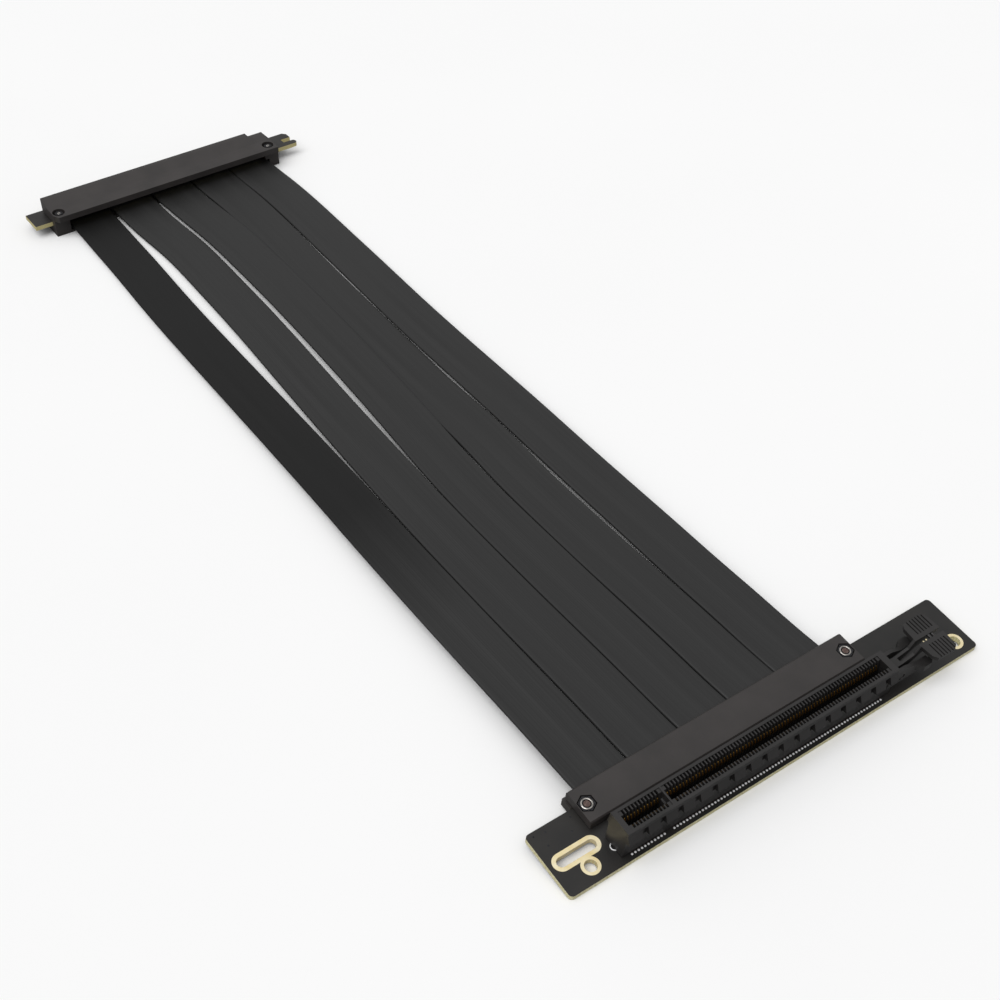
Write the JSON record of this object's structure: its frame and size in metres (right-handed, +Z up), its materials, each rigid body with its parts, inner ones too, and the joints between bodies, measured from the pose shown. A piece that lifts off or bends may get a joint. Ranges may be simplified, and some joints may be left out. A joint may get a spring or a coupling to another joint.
{
  "type": "gpu riser cable",
  "caption": "Flat riser cable for a graphics card: a long card slot with a latch on a narrow board, flat black ribbons and a covered edge plug.",
  "frame": {"origin": "on the table, under the middle of the footprint of the two rigid ends", "axes": "+Y runs from the socket end to the plug end, +X along the card slot towards its latch, +Z up"},
  "size_m": [0.1378, 0.3612, 0.0139],
  "materials": {
    "circuit_board": "matt black solder mask on glass-fibre laminate, cream at the cut edges",
    "moulded_nylon": "moulded black glass-filled nylon, fine matt texture",
    "cover_plastic": "moulded black plastic, satin, warm dark grey in the light",
    "ribbon_jacket": "soft black cable jacket with fine lengthwise lines",
    "dark_steel": "black-oxide steel screw",
    "plated_steel": "plated steel, lightly worn"
  },
  "bodies": {
    "root": {"socket_board": "circuit_board", "socket_housing": "moulded_nylon", "socket_upper_cover": "cover_plastic", "socket_lower_cover": "cover_plastic", "socket_screw_1": "dark_steel", "socket_screw_2": "dark_steel", "socket_nut_1": "plated_steel", "socket_nut_2": "plated_steel", "ribbon_1": "ribbon_jacket", "ribbon_2": "ribbon_jacket", "ribbon_3": "ribbon_jacket", "ribbon_4": "ribbon_jacket", "ribbon_5": "ribbon_jacket", "plug_board": "circuit_board", "plug_upper_cover": "cover_plastic", "plug_lower_cover": "cover_plastic", "plug_screw_1": "plated_steel", "plug_screw_2": "plated_steel"},
    "latch": {"card_latch": "moulded_nylon"}
  },
  "joints": [
    {"name": "latch_turn", "type": "hinge", "parent": "root", "child": "latch", "pos_m": [0.03931, -0.17328, 0.00734], "axis": [0, 0.9934, 0.1151], "range_deg": [0, 12]}
  ]
}
